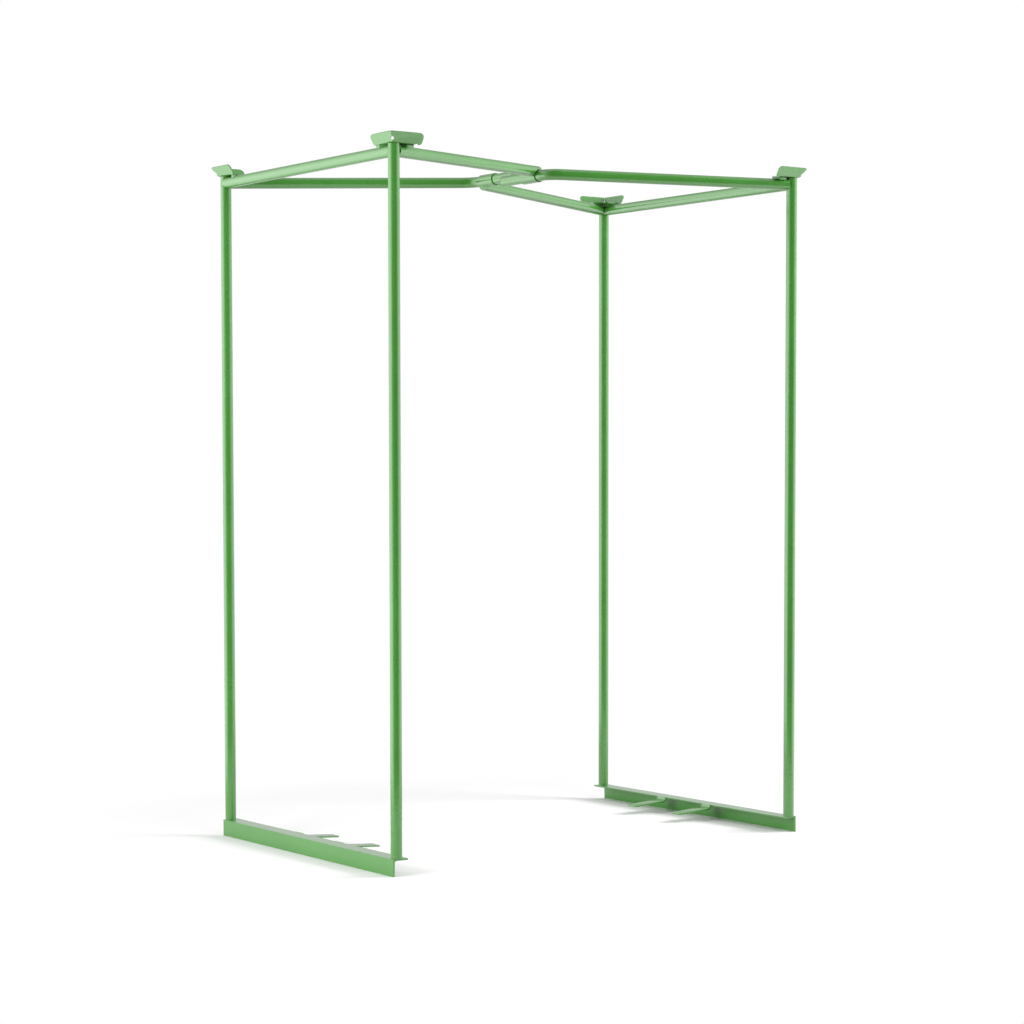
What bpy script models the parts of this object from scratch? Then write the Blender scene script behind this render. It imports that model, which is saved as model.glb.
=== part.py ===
"""Stacking frame: two plug-together halves of green coated steel tube.

Each half stands on an angle rail along the short end of a 1200 x 800
footprint. Two posts rise from the rail to corner cups that seat the next
load. A straight arm and a bent arm run from the post tops to the middle,
where the bent arm of one half plugs into a sleeve on the other. Left half
is at -X, right half at +X, and the right one slides off along -Y.
"""
import math

import bmesh
import bpy
from mathutils import Matrix, Vector

for old in list(bpy.data.objects):
    bpy.data.objects.remove(old, do_unlink=True)

# Footprint that the frame is made for, and the tongues' places along it
PALLET_LENGTH = 1.200
PALLET_WIDTH = 0.800
DECK_GAP_CENTRE = 0.0931

# Fit between neighbouring pieces
GAP = 0.0003
COPE_STEP = 0.6
COPE_RUN = 0.030

# Angle rails
RAIL_LEG = 0.040
RAIL_THICK = 0.004
RAIL_END_PLAY = 0.003
RAIL_END_SETBACK = 0.003
RAIL_ROOT_RADIUS = 0.005
RAIL_TOE_RADIUS = 0.0022

# Tongues that point inward from the rails
TONGUE_THICK = 0.004
TONGUE_WIDTH = 0.035
TONGUE_REACH = 0.138
TONGUE_BEND = 0.006
TONGUE_DROP = 0.013
TONGUE_FALL = 0.006

# Tubes
TUBE_RADIUS = 0.01345
TUBE_AXIS_HEIGHT = 1.632
POST_INSET = 0.002
POST_STAND = 0.00255
ARM_RISE = 0.0135
TUBE_RESOLUTION = 6

# Coupling in the middle
SLEEVE_OUTER = 0.0160
SLEEVE_BORE = 0.0140
SLEEVE_LENGTH = 0.062
SLEEVE_CHAMFER = 0.0007
COUPLING_X = 0.035
COUPLING_INNER_Y = 0.110
COUPLING_STEP = 0.0115
STRAIGHT_END_X = 0.028
STRAIGHT_END_Y = 0.156
BEND_VERTEX_Y = 0.212
BEND_RADIUS = 0.045
BEND_STEPS = 10
PLUG_END_Y = 0.027
CAP_THICK = 0.004
CAP_EDGE = 0.0022

# Corner cups
CUP_PLAY_LONG = 0.003
CUP_PLAY_WIDE = 0.001
SHEET = 0.003
CUP_FLOOR_REACH = 0.050
CUP_FLOOR_CHAMFER = 0.030
CUP_WING_REACH = 0.064
CUP_WING_SLANT = 0.0245
CUP_WING_ANGLE = math.radians(60)
CUP_WING_ROUND = 0.011
CUP_WING_LOW_ROUND = 0.008
CUP_WING_DROP = 0.004
CUP_FOLD_RADIUS = 0.003
CUP_SEAM = 0.001
CUP_HOLE_RADIUS = 0.0036
CUP_HOLE_HEIGHT = 0.0058

# Support bar laid across the two tubes under a cup
BASE_THICK = 0.0065
BASE_LONG_NEAR = 0.031
BASE_LONG_FAR = 0.048
BASE_WIDE_NEAR = 0.045
BASE_WIDE_FAR = 0.059
BASE_SIDE = 0.0045

# Lines worked out from the sizes above
RAIL_OUTER_X = PALLET_LENGTH / 2 + RAIL_END_PLAY + RAIL_THICK
RAIL_LENGTH = PALLET_WIDTH - 2 * RAIL_END_SETBACK
FLANGE_INNER_X = RAIL_OUTER_X - RAIL_LEG
POST_X = RAIL_OUTER_X - POST_INSET - TUBE_RADIUS
POST_Y = PALLET_WIDTH / 2 - TUBE_RADIUS
POST_TOP = TUBE_AXIS_HEIGHT + TUBE_RADIUS + POST_STAND
CUP_SEAT = POST_TOP + GAP + SHEET
CUP_FOLD = TUBE_RADIUS - SHEET * math.tan(CUP_WING_ANGLE / 2)
CUP_X = PALLET_LENGTH / 2 + CUP_PLAY_LONG - CUP_FOLD
CUP_Y = PALLET_WIDTH / 2 + CUP_PLAY_WIDE - CUP_FOLD

GREEN = (0.085, 0.255, 0.065, 1.0)
GREEN_SHEET = (0.100, 0.290, 0.080, 1.0)
GREEN_CAP = (0.050, 0.150, 0.040, 1.0)

parts = bpy.data.collections.new("pallet_stacking_frame")
bpy.context.scene.collection.children.link(parts)
cutters = bpy.data.collections.new("cutters")
bpy.context.scene.collection.children.link(cutters)


def coat(name, colour, rough, metal):
    """Material of one piece."""
    mat = bpy.data.materials.new(name)
    mat.use_nodes = True
    shader = mat.node_tree.nodes["Principled BSDF"]
    shader.inputs["Base Color"].default_value = colour
    shader.inputs["Roughness"].default_value = rough
    shader.inputs["Metallic"].default_value = metal
    return mat


def add_mesh(name, mesh, home):
    """Object from a mesh, linked to one collection."""
    obj = bpy.data.objects.new(name, mesh)
    home.objects.link(obj)
    if home is cutters:
        obj.hide_render = True
        obj.display_type = "WIRE"
    return obj


def evaluated_mesh(obj):
    """Mesh of an object with its modifiers or curve bevel worked out."""
    bpy.context.view_layer.update()
    graph = bpy.context.evaluated_depsgraph_get()
    return bpy.data.meshes.new_from_object(obj.evaluated_get(graph))


def bake(obj):
    """Work out the modifiers and keep the result as the object's mesh."""
    mesh = evaluated_mesh(obj)
    obj.modifiers.clear()
    obj.data = mesh
    return obj


def weld_and_face_out(mesh):
    """Merge the loose caps and point every face outward."""
    bm = bmesh.new()
    bm.from_mesh(mesh)
    bmesh.ops.remove_doubles(bm, verts=bm.verts, dist=0.00001)
    bmesh.ops.recalc_face_normals(bm, faces=bm.faces)
    bm.to_mesh(mesh)
    bm.free()
    return mesh


def keep_largest(obj):
    """Drop the scraps that a cut leaves behind."""
    bm = bmesh.new()
    bm.from_mesh(obj.data)
    left = set(bm.verts)
    islands = []
    while left:
        seed = left.pop()
        island = {seed}
        front = [seed]
        while front:
            vert = front.pop()
            for edge in vert.link_edges:
                other = edge.other_vert(vert)
                if other in left:
                    left.remove(other)
                    island.add(other)
                    front.append(other)
        islands.append(island)
    islands.sort(key=len, reverse=True)
    for island in islands[1:]:
        bmesh.ops.delete(bm, geom=list(island), context="VERTS")
    bm.to_mesh(obj.data)
    bm.free()
    return obj


def finish(obj, mat, angle=35):
    """Give a piece its material and smooth faces with sharp creases."""
    obj.data.materials.clear()
    obj.data.materials.append(mat)
    for poly in obj.data.polygons:
        poly.use_smooth = True
        poly.material_index = 0
    obj.data.set_sharp_from_angle(angle=math.radians(angle))
    return obj


def tube_mesh(points, radius):
    """Closed round bar along a path of points."""
    curve = bpy.data.curves.new("path", "CURVE")
    curve.dimensions = "3D"
    curve.bevel_depth = radius
    curve.bevel_resolution = TUBE_RESOLUTION
    curve.use_fill_caps = True
    line = curve.splines.new("POLY")
    line.points.add(len(points) - 1)
    for index, point in enumerate(points):
        line.points[index].co = (point[0], point[1], point[2], 1.0)
    obj = bpy.data.objects.new("path", curve)
    cutters.objects.link(obj)
    mesh = evaluated_mesh(obj)
    bpy.data.objects.remove(obj, do_unlink=True)
    return weld_and_face_out(mesh)


def tube(name, points, radius, home):
    """Round tube along a path, placed with its origin at the first point."""
    start = Vector(points[0])
    local = [Vector(point) - start for point in points]
    obj = add_mesh(name, tube_mesh(local, radius), home)
    obj.location = start
    return obj


def cut(obj, tool, operation="DIFFERENCE"):
    """Boolean with the exact solver."""
    mod = obj.modifiers.new("cut", "BOOLEAN")
    mod.operation = operation
    mod.solver = "EXACT"
    mod.object = tool
    return bake(obj)


def spin(name, profile, home):
    """Turned solid: closed (radius, height) outline swept round Z."""
    mesh = bpy.data.meshes.new(name)
    verts = [(radius, 0.0, height) for radius, height in profile]
    count = len(verts)
    edges = [(index, (index + 1) % count) for index in range(count)]
    mesh.from_pydata(verts, edges, [])
    obj = add_mesh(name, mesh, home)
    mod = obj.modifiers.new("turn", "SCREW")
    mod.angle = math.radians(360)
    mod.steps = 40
    mod.render_steps = 40
    mod.use_merge_vertices = True
    mod.merge_threshold = 0.00001
    bake(obj)
    weld_and_face_out(obj.data)
    return obj


def outline_mesh(name, loop, depth):
    """Flat outline in XY thickened to the given depth, centred on Z."""
    curve = bpy.data.curves.new(name, "CURVE")
    curve.dimensions = "2D"
    curve.fill_mode = "BOTH"
    curve.extrude = depth / 2
    line = curve.splines.new("POLY")
    line.points.add(len(loop) - 1)
    for index, point in enumerate(loop):
        line.points[index].co = (point[0], point[1], 0.0, 1.0)
    line.use_cyclic_u = True
    obj = bpy.data.objects.new(name, curve)
    cutters.objects.link(obj)
    mesh = evaluated_mesh(obj)
    bpy.data.objects.remove(obj, do_unlink=True)
    return weld_and_face_out(mesh)


def arc(centre, radius, start, end, steps):
    """Points on a flat arc, angles in degrees."""
    found = []
    for index in range(steps + 1):
        angle = math.radians(start + (end - start) * index / steps)
        found.append((centre[0] + radius * math.cos(angle), centre[1] + radius * math.sin(angle)))
    return found


def rounded_path(start, corner, end, radius, steps):
    """Path of two straight runs joined by a bend in their own plane."""
    start, corner, end = Vector(start), Vector(corner), Vector(end)
    back = (start - corner).normalized()
    ahead = (end - corner).normalized()
    half = back.angle(ahead) / 2
    tangent = radius / math.tan(half)
    centre = corner + (back + ahead).normalized() * (radius / math.sin(half))
    first = corner + back * tangent
    across = (centre - first).normalized()
    turn = math.pi - 2 * half
    points = [start]
    for index in range(steps + 1):
        angle = turn * index / steps
        points.append(centre - across * radius * math.cos(angle) - back * radius * math.sin(angle))
    points.append(end)
    return points


def bevel_edges(obj, width, segments, angle):
    """Round the edges that are sharper than the angle."""
    mod = obj.modifiers.new("edge", "BEVEL")
    mod.width = width
    mod.segments = segments
    mod.limit_method = "ANGLE"
    mod.angle_limit = math.radians(angle)
    mod.harden_normals = False
    return bake(obj)


def make_rail(name, side):
    """Hot-rolled angle: one leg hangs down outside, one lies flat and points inward."""
    root = RAIL_ROOT_RADIUS
    toe = RAIL_TOE_RADIUS
    leg = RAIL_LEG
    thick = RAIL_THICK
    loop = [(0.0, 0.0), (thick - toe, 0.0)]
    loop += arc((thick - toe, toe), toe, -90, 0, 4)[1:]
    loop += arc((thick + root, leg - thick - root), root, 180, 90, 5)
    loop += arc((leg - toe, leg - thick + toe), toe, -90, 0, 4)
    loop += [(leg, leg), (0.0, leg)]
    obj = add_mesh(name, outline_mesh(name, loop, RAIL_LENGTH), parts)
    obj.data.transform(Matrix.Rotation(math.radians(90), 4, "X"))
    obj.location = (-side * RAIL_OUTER_X, 0.0, 0.0)
    obj.rotation_euler = (0.0, 0.0, 0.0 if side > 0 else math.pi)
    return finish(obj, coat(name, GREEN_SHEET, 0.35, 0.0))


def make_tongue(name, side, y):
    """Bent strap: down from the flange edge, then inward and slightly down."""
    thick = TONGUE_THICK
    inner = TONGUE_BEND
    outer = inner + thick
    reach = FLANGE_INNER_X - GAP - (PALLET_LENGTH / 2 - TONGUE_REACH)
    loop = [(0.0, TONGUE_DROP), (0.0, outer)]
    loop += arc((outer, outer), outer, 180, 270, 6)[1:]
    loop += [(reach, -TONGUE_FALL), (reach, thick - TONGUE_FALL), (outer, thick)]
    loop += arc((outer, outer), inner, 270, 180, 6)[1:]
    loop += [(thick, TONGUE_DROP)]
    obj = add_mesh(name, outline_mesh(name, loop, TONGUE_WIDTH), parts)
    obj.data.transform(Matrix.Rotation(math.radians(90), 4, "X"))
    bevel_edges(obj, 0.0005, 2, 60)
    obj.location = (-side * (FLANGE_INNER_X - GAP), y, RAIL_LEG - TONGUE_DROP)
    obj.rotation_euler = (0.0, 0.0, 0.0 if side > 0 else math.pi)
    return finish(obj, coat(name, GREEN_SHEET, 0.35, 0.0))


def make_post(name, x, y):
    """Corner post from the rail's flange to the cup's floor."""
    foot = RAIL_LEG + GAP
    obj = tube(name, [(x, y, foot), (x, y, POST_TOP)], TUBE_RADIUS, parts)
    return finish(obj, coat(name, GREEN, 0.3, 0.0))


def cut_round_tubes(obj, tubes):
    """Cope a tube end so that it sits round its neighbours."""
    for index, points in enumerate(tubes):
        room = TUBE_RADIUS + GAP * (1 + COPE_STEP * index)
        tool = tube(obj.name + "_cope_" + str(index), points, room, cutters)
        cut(obj, tool)
        keep_largest(obj)
    return obj


def cut_round_sleeve(obj, centre_x, low_y, high_y, z):
    """Cope a tube end round the outside of the sleeve."""
    reach = 0.010
    points = [(centre_x, low_y - reach, z), (centre_x, high_y + reach, z)]
    tool = tube(obj.name + "_seat", points, SLEEVE_OUTER + GAP, cutters)
    cut(obj, tool)
    return keep_largest(obj)


def make_sleeve(name, x, y, z):
    """Short socket tube along Y, open at both ends."""
    half = SLEEVE_LENGTH / 2
    edge = SLEEVE_CHAMFER
    profile = [(SLEEVE_OUTER - edge, half), (SLEEVE_OUTER, half - edge)]
    profile += [(SLEEVE_OUTER, edge - half), (SLEEVE_OUTER - edge, -half)]
    profile += [(SLEEVE_BORE, -half), (SLEEVE_BORE, half)]
    obj = spin(name, profile, parts)
    obj.data.transform(Matrix.Rotation(math.radians(90), 4, "X"))
    obj.location = (x, y, z)
    return finish(obj, coat(name, GREEN_SHEET, 0.3, 0.0))


def make_cap(name, x, y, z, toward):
    """Domed cap on the free end of the plug; toward is +1 or -1 along Y."""
    edge = CAP_EDGE
    radius = TUBE_RADIUS
    rim = arc((radius - edge, CAP_THICK - edge), edge, 90, 0, 5)
    profile = [(0.0, CAP_THICK + 0.0006), (radius * 0.5, CAP_THICK + 0.0004)] + rim
    profile += [(radius, 0.0), (0.0, 0.0)]
    obj = spin(name, profile, parts)
    obj.data.transform(Matrix.Rotation(math.radians(-90 * toward), 4, "X"))
    obj.location = (x, y, z)
    return finish(obj, coat(name, GREEN_CAP, 0.45, 0.0))


def wing_outline(fold_end):
    """Wing outline as (along, up the slant) from the shared seam round."""
    flare = CUP_WING_SLANT * math.cos(CUP_WING_ANGLE)
    turn = CUP_WING_ROUND
    low = CUP_WING_LOW_ROUND
    far = -CUP_WING_REACH
    loop = [(CUP_FOLD, 0.0), (CUP_FOLD + flare, CUP_WING_SLANT)]
    loop += arc((far + turn, CUP_WING_SLANT - turn), turn, 90, 180, 6)
    loop += arc((far + low, low - CUP_WING_DROP), low, 180, 270, 5)
    loop += [(fold_end, 0.0)]
    return loop


def cup_shell(name):
    """Closed sheet of floor and two wings that share the corner seam."""
    fold_end = -CUP_FLOOR_REACH
    rise = math.sin(CUP_WING_ANGLE)
    flare = math.cos(CUP_WING_ANGLE)
    cham = CUP_FLOOR_CHAMFER
    bm = bmesh.new()
    wing_x = []
    wing_y = []
    for index, (along, up) in enumerate(wing_outline(fold_end)):
        out = CUP_FOLD + up * flare
        vert = bm.verts.new((out, along, up * rise))
        wing_x.append(vert)
        if index > 1:
            vert = bm.verts.new((along, out, up * rise))
        wing_y.append(vert)
    inner = [
        bm.verts.new((fold_end, fold_end + cham, 0.0)),
        bm.verts.new((fold_end + cham, fold_end, 0.0)),
    ]
    bm.faces.new(wing_x)
    bm.faces.new(list(reversed(wing_y)))
    bm.faces.new([wing_x[0], wing_y[-1], inner[0], inner[1], wing_x[-1]])
    bmesh.ops.recalc_face_normals(bm, faces=bm.faces)
    seam = {wing_x[0], wing_x[1]}
    folds = [side for side in bm.edges if len(side.link_faces) == 2 and set(side.verts) != seam]
    bmesh.ops.bevel(bm, geom=folds, offset=CUP_FOLD_RADIUS, segments=4, profile=0.5, affect="EDGES")
    bmesh.ops.triangulate(bm, faces=[face for face in bm.faces if len(face.verts) > 4])
    level = [face for face in bm.faces if abs(face.normal.z) > 0.99]
    if level[0].normal.z < 0:
        bmesh.ops.reverse_faces(bm, faces=bm.faces)
    mesh = bpy.data.meshes.new(name)
    bm.to_mesh(mesh)
    bm.free()
    obj = add_mesh(name, mesh, parts)
    mod = obj.modifiers.new("sheet", "SOLIDIFY")
    mod.thickness = SHEET
    mod.offset = -1.0
    mod.use_even_offset = True
    bake(obj)
    weld_and_face_out(obj.data)
    return obj


def make_cup(name, out_x, out_y):
    """Bent sheet cup with a drain hole and an open seam above the hole."""
    obj = cup_shell(name)
    out = CUP_FOLD + CUP_HOLE_HEIGHT / math.tan(CUP_WING_ANGLE)

    # The hole runs level, square to the corner, so its wall stays off the floor
    half = CUP_WING_SLANT / 2
    pin = [(0.0, -half), (CUP_HOLE_RADIUS, -half), (CUP_HOLE_RADIUS, half), (0.0, half)]
    hole = spin(name + "_drain", pin, cutters)
    hole.rotation_euler = (math.radians(90), 0.0, math.radians(135))
    hole.location = (out, out, CUP_HOLE_HEIGHT)
    cut(obj, hole)

    high = CUP_WING_SLANT
    slit = add_mesh(name + "_seam", bpy.data.meshes.new(name + "_seam"), cutters)
    bm = bmesh.new()
    bmesh.ops.create_cube(bm, size=1.0)
    bmesh.ops.scale(bm, verts=bm.verts, vec=(high * 2, CUP_SEAM, high))
    bm.to_mesh(slit.data)
    bm.free()
    slit.rotation_euler = (0.0, 0.0, math.radians(45))
    slit.location = (out, out, CUP_HOLE_HEIGHT + high / 2)
    cut(obj, slit)

    # Turn the corner outward and set the cup on its post
    x = out_x * CUP_X
    y = out_y * CUP_Y
    obj.data.transform(Matrix.Diagonal((out_x, out_y, 1.0, 1.0)))
    weld_and_face_out(obj.data)
    for tool in (hole, slit):
        tool.location = (x + out_x * out, y + out_y * out, CUP_SEAT + tool.location.z)
        if out_x * out_y < 0:
            tool.rotation_euler.z = -tool.rotation_euler.z
    obj.location = (x, y, CUP_SEAT)
    return finish(obj, coat(name, GREEN_SHEET, 0.35, 0.0), 30)


def make_base(name, point, tubes):
    """Support bar across two tubes, coped round both."""
    out_x = math.copysign(1.0, point[0])
    out_y = math.copysign(1.0, point[1])
    side = TUBE_RADIUS - BASE_SIDE
    loop = [(-BASE_LONG_NEAR, side), (-BASE_LONG_FAR, side), (side, -BASE_WIDE_FAR), (side, -BASE_WIDE_NEAR)]
    if out_x * out_y < 0:
        loop = list(reversed(loop))
    loop = [(out_x * u, out_y * v) for u, v in loop]
    obj = add_mesh(name, outline_mesh(name, loop, BASE_THICK), parts)
    bevel_edges(obj, 0.0005, 2, 60)
    obj.location = (point[0], point[1], POST_TOP - BASE_THICK / 2)
    cut_round_tubes(obj, tubes)
    return finish(obj, coat(name, GREEN_SHEET, 0.35, 0.0))


def make_half(word, side, sleeve_z, plug_z):
    """One half; side +1 is the left half, -1 the same half turned round."""
    def place(x, y, z):
        return (side * x, side * y, z)

    axis = TUBE_AXIS_HEIGHT
    start = place(-POST_X, -POST_Y, axis)
    other = place(-POST_X, POST_Y, axis)
    names = ["near", "far"] if side > 0 else ["far", "near"]

    make_rail(word + "_rail", side)
    make_tongue(word + "_tongue_near", side, -DECK_GAP_CENTRE)
    make_tongue(word + "_tongue_far", side, DECK_GAP_CENTRE)
    end = place(-STRAIGHT_END_X, -STRAIGHT_END_Y, axis + ARM_RISE)
    vertex = place(COUPLING_X, BEND_VERTEX_Y, plug_z)
    for label, point, arm_end in zip(names, (start, other), (end, vertex)):
        make_post(word + "_post_" + label, point[0], point[1])
        make_base(word + "_cup_base_" + label, point, [[start, other], [point, arm_end]])
        make_cup(word + "_cup_" + label, math.copysign(1.0, point[0]), math.copysign(1.0, point[1]))

    columns = []
    for point in (start, other):
        columns.append([(point[0], point[1], axis - 0.1), (point[0], point[1], axis + 0.1)])

    beyond = Vector(place(0.0, COPE_RUN, 0.0))
    through = [Vector(start) - beyond, Vector(other) + beyond]

    bar = tube(word + "_short_bar", [start, other], TUBE_RADIUS, parts)
    cut_round_tubes(bar, columns)
    finish(bar, coat(bar.name, GREEN, 0.3, 0.0))

    arm = tube(word + "_straight_arm", [start, end], TUBE_RADIUS, parts)
    cut_round_tubes(arm, [columns[0], through])
    low = place(-COUPLING_X, -COUPLING_INNER_Y - SLEEVE_LENGTH, 0.0)
    high = place(-COUPLING_X, -COUPLING_INNER_Y, 0.0)
    ends = sorted((low[1], high[1]))
    cut_round_sleeve(arm, low[0], ends[0], ends[1], sleeve_z)
    finish(arm, coat(arm.name, GREEN, 0.3, 0.0))

    tip = place(COUPLING_X, PLUG_END_Y, plug_z)
    path = rounded_path(other, vertex, tip, BEND_RADIUS, BEND_STEPS)
    bent = tube(word + "_bent_arm", path, TUBE_RADIUS, parts)
    cut_round_tubes(bent, [columns[1], through])
    finish(bent, coat(bent.name, GREEN, 0.3, 0.0))

    make_sleeve(word + "_sleeve", low[0], (low[1] + high[1]) / 2, sleeve_z)
    make_cap(word + "_plug_cap", tip[0], tip[1] - side * GAP, tip[2], -side)


lower = TUBE_AXIS_HEIGHT + ARM_RISE - COUPLING_STEP
upper = TUBE_AXIS_HEIGHT + ARM_RISE + COUPLING_STEP
make_half("left", 1, lower, upper)
make_half("right", -1, upper, lower)
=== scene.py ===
import math

import bpy
from mathutils import Matrix, Vector


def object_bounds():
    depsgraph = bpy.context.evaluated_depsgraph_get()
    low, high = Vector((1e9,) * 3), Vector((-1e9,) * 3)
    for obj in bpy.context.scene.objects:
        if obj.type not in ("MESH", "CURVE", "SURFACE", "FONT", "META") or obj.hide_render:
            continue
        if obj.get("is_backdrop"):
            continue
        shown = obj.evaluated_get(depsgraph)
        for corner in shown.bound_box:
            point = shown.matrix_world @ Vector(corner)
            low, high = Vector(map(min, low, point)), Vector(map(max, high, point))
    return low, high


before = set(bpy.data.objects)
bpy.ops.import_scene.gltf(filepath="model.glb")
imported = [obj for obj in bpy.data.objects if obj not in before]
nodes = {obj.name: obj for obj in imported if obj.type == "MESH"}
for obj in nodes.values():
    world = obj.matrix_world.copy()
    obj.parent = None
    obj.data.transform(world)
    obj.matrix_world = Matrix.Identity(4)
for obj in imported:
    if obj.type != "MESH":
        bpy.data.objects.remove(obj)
low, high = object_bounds()

# Coats: lighter and deeper colour of the cloud, both linear, and middle roughness
TUBE_COAT = ((0.066, 0.278, 0.040, 1.0), (0.054, 0.234, 0.030, 1.0), 0.26)
SHEET_COAT = ((0.070, 0.285, 0.045, 1.0), (0.056, 0.240, 0.034, 1.0), 0.30)
CAP_COAT = ((0.050, 0.205, 0.032, 1.0), (0.036, 0.150, 0.022, 1.0), 0.38)

# Patterns in the coat, moved on from piece to piece so that no two are alike
PIECE_SHIFT = 1.37
SHIFT_WAY = (1.0, 0.7, 0.3)
CLOUD_SCALE = 5.0
CLOUD_DETAIL = 5.0
CLOUD_ROUGHNESS = 0.6
CLOUD_DEEP_AT = 0.30
CLOUD_LIGHT_AT = 0.72
# Pale grey blended in grainy patches over the faces that look up, the more the further up they look
UPWARD_PALE_COLOUR = (0.62, 0.62, 0.58, 1.0)
UPWARD_GRAIN_SCALE = 70.0
UPWARD_GRAIN_DETAIL = 6.0
UPWARD_PALE_SLOPE = (0.55, 1.0)
UPWARD_PALE_MOST = 0.16
GLOSS_SPREAD = (-0.05, 0.07)
SPECULAR_LEVEL = 0.5
CLEAR_ROUGHNESS = 0.12
CLEAR_IOR = 1.85
PEEL_SCALE = 420.0
PEEL_DETAIL = 2.0
PEEL_STRENGTH = 0.15
PEEL_DEPTH = 0.00003

# Smooth shading: near points are one, and edges sharper than the angle stay sharp
WELD_DISTANCE = 0.00002
CREASE_ANGLE = math.radians(35)

# Floor; its two fades run over a stretch of distance from the origin, in metres
FLOOR_HALF = 30.0
FLOOR_DROP = 0.0005
FLOOR_GREY = 0.90
FLOOR_ROUGHNESS = 0.7
FLOOR_SPECULAR = 0.2
FLOOR_TO_WHITE = (0.7, 1.3)
FELT_COLOUR = (0.58, 0.58, 0.56, 1.0)
FELT_TO_NOTHING = (1.5, 2.3)

# Camera fitted to the photo: yaw from +Y to +X, pitch down; _PX values are in pixels of the image
CAMERA_AT = Vector((-3.6163, -5.1052, 0.9231))
YAW = math.radians(35.124)
PITCH = math.radians(3.269)
ROLL = math.radians(-0.084)
IMAGE_PX = 1024.0
FOCAL_PX = 2485.8
CENTRE_SHIFT_PX = (-9.7, 98.5)
SENSOR = 36.0
CLIP_NEAR = 0.05
CLIP_FAR = 200.0

# Room: greys from beyond the object, at 0, round to behind the camera, at 1
ROOM_GREYS = ((0.08, 0.42), (0.27, 1.0), (0.62, 1.0), (0.90, 0.05))
BAND_TURN = 0.10
BAND_HEIGHT_SHARE = 0.4
BRIGHT_WAY = (-0.77, 0.64, 0.0)
BRIGHT_GAIN = (1.15, 1.9)
OVERHEAD_SLOPE = (0.1, 0.8)
OVERHEAD_GAIN = (1.0, 0.45)

# Lamps: name, place, aim, width and height, power in watts
LAMPS = (
    ("key", (-3.8, -0.3, 1.1), (0.0, 0.0, 0.3), (2.2, 1.8), 108.0),
    ("fill", (3.4, -2.4, 2.6), (0.0, 0.0, 1.2), (2.0, 2.4), 200.0),
    ("front", (-0.6, -4.4, 3.9), (0.0, 0.0, 1.0), (2.4, 1.6), 90.0),
)


def grey(level):
    """Opaque grey of one level."""
    return (level, level, level, 1.0)


def set_inputs(node, values):
    """Set the constant values of a node's inputs by name."""
    for label, value in values.items():
        node.inputs[label].default_value = value


def noise(tree, vector, scale, detail, roughness=0.5):
    """Noise pattern over a vector, as a value."""
    node = tree.nodes.new("ShaderNodeTexNoise")
    set_inputs(node, {"Scale": scale, "Detail": detail, "Roughness": roughness})
    tree.links.new(vector, node.inputs["Vector"])
    return node.outputs["Fac"]


def map_range(tree, value, start, end=(0.0, 1.0), smooth=False):
    """Value carried from the start range to the end range, held at its ends."""
    node = tree.nodes.new("ShaderNodeMapRange")
    if smooth:
        node.interpolation_type = "SMOOTHSTEP"
    set_inputs(node, {"From Min": start[0], "From Max": start[1], "To Min": end[0], "To Max": end[1]})
    tree.links.new(value, node.inputs["Value"])
    return node.outputs["Result"]


def multiply(tree, first, second):
    """Product of two values."""
    node = tree.nodes.new("ShaderNodeMath")
    node.operation = "MULTIPLY"
    tree.links.new(first, node.inputs[0])
    tree.links.new(second, node.inputs[1])
    return node.outputs["Value"]


def vector_math(tree, operation, vector, constant=None):
    """Node that works on a vector and, where it needs one, a constant vector."""
    node = tree.nodes.new("ShaderNodeVectorMath")
    node.operation = operation
    tree.links.new(vector, node.inputs[0])
    if constant:
        node.inputs[1].default_value = constant
    return node


def height_part(tree, vector):
    """Z part of a vector."""
    node = tree.nodes.new("ShaderNodeSeparateXYZ")
    tree.links.new(vector, node.inputs["Vector"])
    return node.outputs["Z"]


def colour_ramp(tree, value, stops, interpolation="LINEAR"):
    """Colour by value, through (position, colour) stops."""
    node = tree.nodes.new("ShaderNodeValToRGB")
    node.color_ramp.interpolation = interpolation
    elements = node.color_ramp.elements
    elements[0].position, elements[0].color = stops[0]
    elements[1].position, elements[1].color = stops[-1]
    for position, colour in stops[1:-1]:
        elements.new(position).color = colour
    tree.links.new(value, node.inputs["Fac"])
    return node.outputs["Color"]


def mix_shaders(tree, share, first, second):
    """First shader where the share is 0, second where it is 1."""
    node = tree.nodes.new("ShaderNodeMixShader")
    tree.links.new(share, node.inputs["Fac"])
    tree.links.new(first, node.inputs[1])
    tree.links.new(second, node.inputs[2])
    return node.outputs["Shader"]


def camera_ray(tree):
    """1 for rays that come straight from the camera, 0 for reflected and scattered ones."""
    return tree.nodes.new("ShaderNodeLightPath").outputs["Is Camera Ray"]


def coat_colour(tree, place, cloud, lighter, deeper):
    """Cloudy depth of colour, blended towards a pale grey in grainy patches on the faces that look up."""
    paint = colour_ramp(tree, cloud, ((CLOUD_DEEP_AT, deeper), (CLOUD_LIGHT_AT, lighter)))
    normal = tree.nodes.new("ShaderNodeNewGeometry").outputs["Normal"]
    upward = map_range(tree, height_part(tree, normal), UPWARD_PALE_SLOPE, (0.0, UPWARD_PALE_MOST))
    paler_upward = tree.nodes.new("ShaderNodeMix")
    paler_upward.data_type = "RGBA"
    paler_upward.inputs["B"].default_value = UPWARD_PALE_COLOUR
    upward_grain = noise(tree, place, UPWARD_GRAIN_SCALE, UPWARD_GRAIN_DETAIL)
    tree.links.new(multiply(tree, upward, upward_grain), paler_upward.inputs["Factor"])
    tree.links.new(paint, paler_upward.inputs["A"])
    return paler_upward.outputs["Result"]


def orange_peel(tree, place):
    """Fine waves of the baked powder, as a normal."""
    bump = tree.nodes.new("ShaderNodeBump")
    set_inputs(bump, {"Strength": PEEL_STRENGTH, "Distance": PEEL_DEPTH})
    tree.links.new(noise(tree, place, PEEL_SCALE, PEEL_DETAIL), bump.inputs["Height"])
    return bump.outputs["Normal"]


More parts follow.
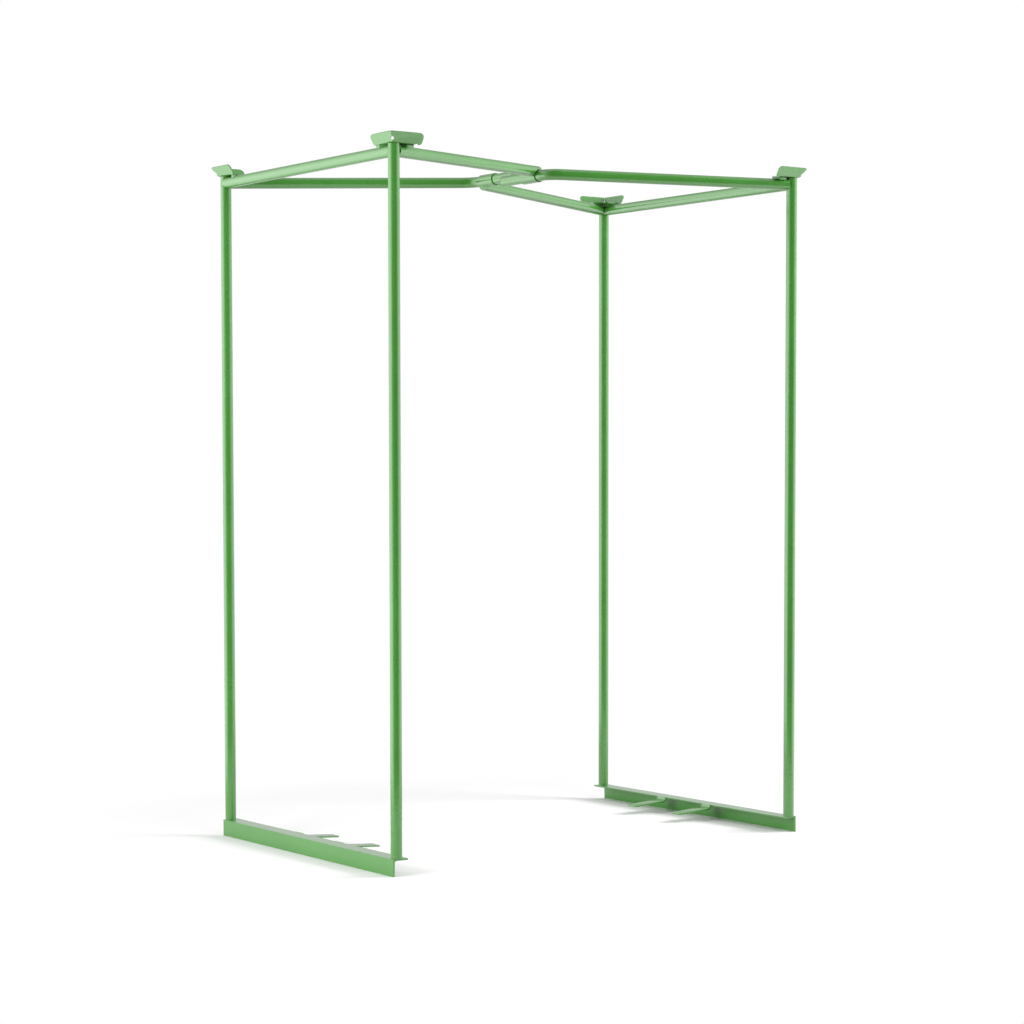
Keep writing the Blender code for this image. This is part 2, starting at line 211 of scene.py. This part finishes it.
def coat_material(name, coat, shift):
    """Powder coat with its own cloud, gloss, paler grainy upward faces and orange peel."""
    lighter, deeper, rough = coat
    mat = bpy.data.materials.new(name)
    mat.use_nodes = True
    tree = mat.node_tree
    shader = tree.nodes["Principled BSDF"]
    set_inputs(shader, {"Specular IOR Level": SPECULAR_LEVEL, "Coat Weight": 1.0})
    set_inputs(shader, {"Coat Roughness": CLEAR_ROUGHNESS, "Coat IOR": CLEAR_IOR})

    at_rest = tree.nodes.new("ShaderNodeTexCoord").outputs["Object"]
    move = tree.nodes.new("ShaderNodeMapping")
    move.inputs["Location"].default_value = [shift * part for part in SHIFT_WAY]
    tree.links.new(at_rest, move.inputs["Vector"])
    place = move.outputs["Vector"]

    cloud = noise(tree, place, CLOUD_SCALE, CLOUD_DETAIL, CLOUD_ROUGHNESS)
    colour = coat_colour(tree, place, cloud, lighter, deeper)
    tree.links.new(colour, shader.inputs["Base Color"])
    gloss_range = [rough + change for change in GLOSS_SPREAD]
    tree.links.new(map_range(tree, cloud, (0.0, 1.0), gloss_range), shader.inputs["Roughness"])
    peel = orange_peel(tree, place)
    tree.links.new(peel, shader.inputs["Normal"])
    tree.links.new(peel, shader.inputs["Coat Normal"])
    return mat


def coat_of(name):
    """Coat that a node takes, by its name."""
    if name.endswith("plug_cap"):
        return CAP_COAT
    if "cup" in name or "rail" in name or "tongue" in name:
        return SHEET_COAT
    return TUBE_COAT


def dress(obj, mat):
    """Give a node its material and smooth faces with sharp creases."""
    obj.data.materials.clear()
    obj.data.materials.append(mat)
    weld = obj.modifiers.new("weld", "WELD")
    weld.merge_threshold = WELD_DISTANCE
    for poly in obj.data.polygons:
        poly.use_smooth = True
    crease = obj.modifiers.new("crease", "EDGE_SPLIT")
    crease.split_angle = CREASE_ANGLE
    crease.use_edge_sharp = False


def floor_material():
    """Pale floor that the camera sees turn white; other rays feel a grey one, near the object only."""
    mat = bpy.data.materials.new("floor_paint")
    mat.use_nodes = True
    tree = mat.node_tree
    paint = tree.nodes["Principled BSDF"]
    set_inputs(paint, {"Base Color": grey(FLOOR_GREY), "Roughness": FLOOR_ROUGHNESS})
    set_inputs(paint, {"Specular IOR Level": FLOOR_SPECULAR})
    white = tree.nodes.new("ShaderNodeEmission")
    set_inputs(white, {"Color": grey(1.0), "Strength": 1.0})
    dull = tree.nodes.new("ShaderNodeBsdfDiffuse")
    set_inputs(dull, {"Color": FELT_COLOUR})
    clear = tree.nodes.new("ShaderNodeBsdfTransparent")

    position = tree.nodes.new("ShaderNodeNewGeometry").outputs["Position"]
    away = vector_math(tree, "LENGTH", position).outputs["Value"]
    whiter = map_range(tree, away, FLOOR_TO_WHITE, smooth=True)
    fainter = map_range(tree, away, FELT_TO_NOTHING, smooth=True)
    seen = mix_shaders(tree, whiter, paint.outputs["BSDF"], white.outputs["Emission"])
    felt = mix_shaders(tree, fainter, dull.outputs["BSDF"], clear.outputs["BSDF"])
    surface = mix_shaders(tree, camera_ray(tree), felt, seen)
    tree.links.new(surface, tree.nodes["Material Output"].inputs["Surface"])
    return mat


def make_floor():
    """Square floor just under the object."""
    mesh = bpy.data.meshes.new("floor")
    half = FLOOR_HALF
    corners = [(-half, -half, 0.0), (half, -half, 0.0), (half, half, 0.0), (-half, half, 0.0)]
    mesh.from_pydata(corners, [], [(0, 1, 2, 3)])
    mesh.materials.append(floor_material())
    floor = bpy.data.objects.new("floor", mesh)
    bpy.context.scene.collection.objects.link(floor)
    floor.location.z = low.z - FLOOR_DROP
    floor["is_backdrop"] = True


def make_camera():
    """Camera at the fitted place, turned by yaw, pitch and roll and shifted to the photo's framing."""
    level = math.cos(PITCH)
    ahead = Vector((math.sin(YAW) * level, math.cos(YAW) * level, -math.sin(PITCH)))
    side = Vector((math.cos(YAW), -math.sin(YAW), 0.0))
    top = side.cross(ahead)
    right = side * math.cos(ROLL) + top * math.sin(ROLL)
    above = top * math.cos(ROLL) - side * math.sin(ROLL)
    data = bpy.data.cameras.new("camera")
    data.sensor_width = SENSOR
    data.lens = FOCAL_PX * SENSOR / IMAGE_PX
    data.shift_x = -CENTRE_SHIFT_PX[0] / IMAGE_PX
    data.shift_y = CENTRE_SHIFT_PX[1] / IMAGE_PX
    data.clip_start = CLIP_NEAR
    data.clip_end = CLIP_FAR
    cam = bpy.data.objects.new("camera", data)
    bpy.context.scene.collection.objects.link(cam)
    turn = Matrix((right, above, -ahead)).transposed()
    cam.matrix_world = Matrix.Translation(CAMERA_AT) @ turn.to_4x4()
    bpy.context.scene.camera = cam


def room_colour(tree, direction):
    """Greys round the room, in tall bands: the height of a direction counts for little."""
    squashed = vector_math(tree, "MULTIPLY", direction, (1.0, 1.0, BAND_HEIGHT_SHARE))
    flat = vector_math(tree, "NORMALIZE", squashed.outputs["Vector"])
    behind = (-math.sin(YAW - BAND_TURN), -math.cos(YAW - BAND_TURN), 0.0)
    toward = vector_math(tree, "DOT_PRODUCT", flat.outputs["Vector"], behind)
    around = map_range(tree, toward.outputs["Value"], (-1.0, 1.0))
    stops = [(position, grey(level)) for position, level in ROOM_GREYS]
    return colour_ramp(tree, around, stops, "EASE")


def room_strength(tree, direction):
    """Strength of the room's light: more from the camera's left, less from overhead."""
    leftward = vector_math(tree, "DOT_PRODUCT", direction, BRIGHT_WAY)
    gain = map_range(tree, leftward.outputs["Value"], (-1.0, 1.0), BRIGHT_GAIN)
    overhead = map_range(tree, height_part(tree, direction), OVERHEAD_SLOPE, OVERHEAD_GAIN)
    return multiply(tree, gain, overhead)


def make_room():
    """World that is plain white to the camera and a soft studio to all other rays.

    The studio is dark behind the camera, which gives the tubes their dark core, full at the
    sides and dimmer beyond the object, where flat faces seen edge-on reflect it.
    """
    world = bpy.data.worlds.new("room")
    bpy.context.scene.world = world
    world.use_nodes = True
    tree = world.node_tree
    tree.nodes.clear()
    seen = tree.nodes.new("ShaderNodeBackground")
    set_inputs(seen, {"Color": grey(1.0), "Strength": 1.0})
    studio = tree.nodes.new("ShaderNodeBackground")
    direction = tree.nodes.new("ShaderNodeTexCoord").outputs["Generated"]
    tree.links.new(room_colour(tree, direction), studio.inputs["Color"])
    tree.links.new(room_strength(tree, direction), studio.inputs["Strength"])
    surface = mix_shaders(tree, camera_ray(tree), studio.outputs["Background"], seen.outputs["Background"])
    tree.links.new(surface, tree.nodes.new("ShaderNodeOutputWorld").inputs["Surface"])


def make_lamp(name, at, aim, size, power):
    """Soft lamp that lights the object and doesn't show in its gloss."""
    data = bpy.data.lights.new(name, "AREA")
    data.shape = "RECTANGLE"
    data.size, data.size_y = size
    data.energy = power
    lamp = bpy.data.objects.new(name, data)
    bpy.context.scene.collection.objects.link(lamp)
    lamp.location = at
    way = Vector(aim) - Vector(at)
    lamp.rotation_euler = way.to_track_quat("-Z", "Y").to_euler()
    lamp.visible_glossy = False


for number, name in enumerate(sorted(nodes)):
    dress(nodes[name], coat_material("coat_" + name, coat_of(name), number * PIECE_SHIFT))

make_floor()
make_camera()
make_room()
for lamp_values in LAMPS:
    make_lamp(*lamp_values)

bpy.context.scene.view_settings.view_transform = "Standard"
bpy.context.scene.view_settings.look = "None"

low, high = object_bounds()
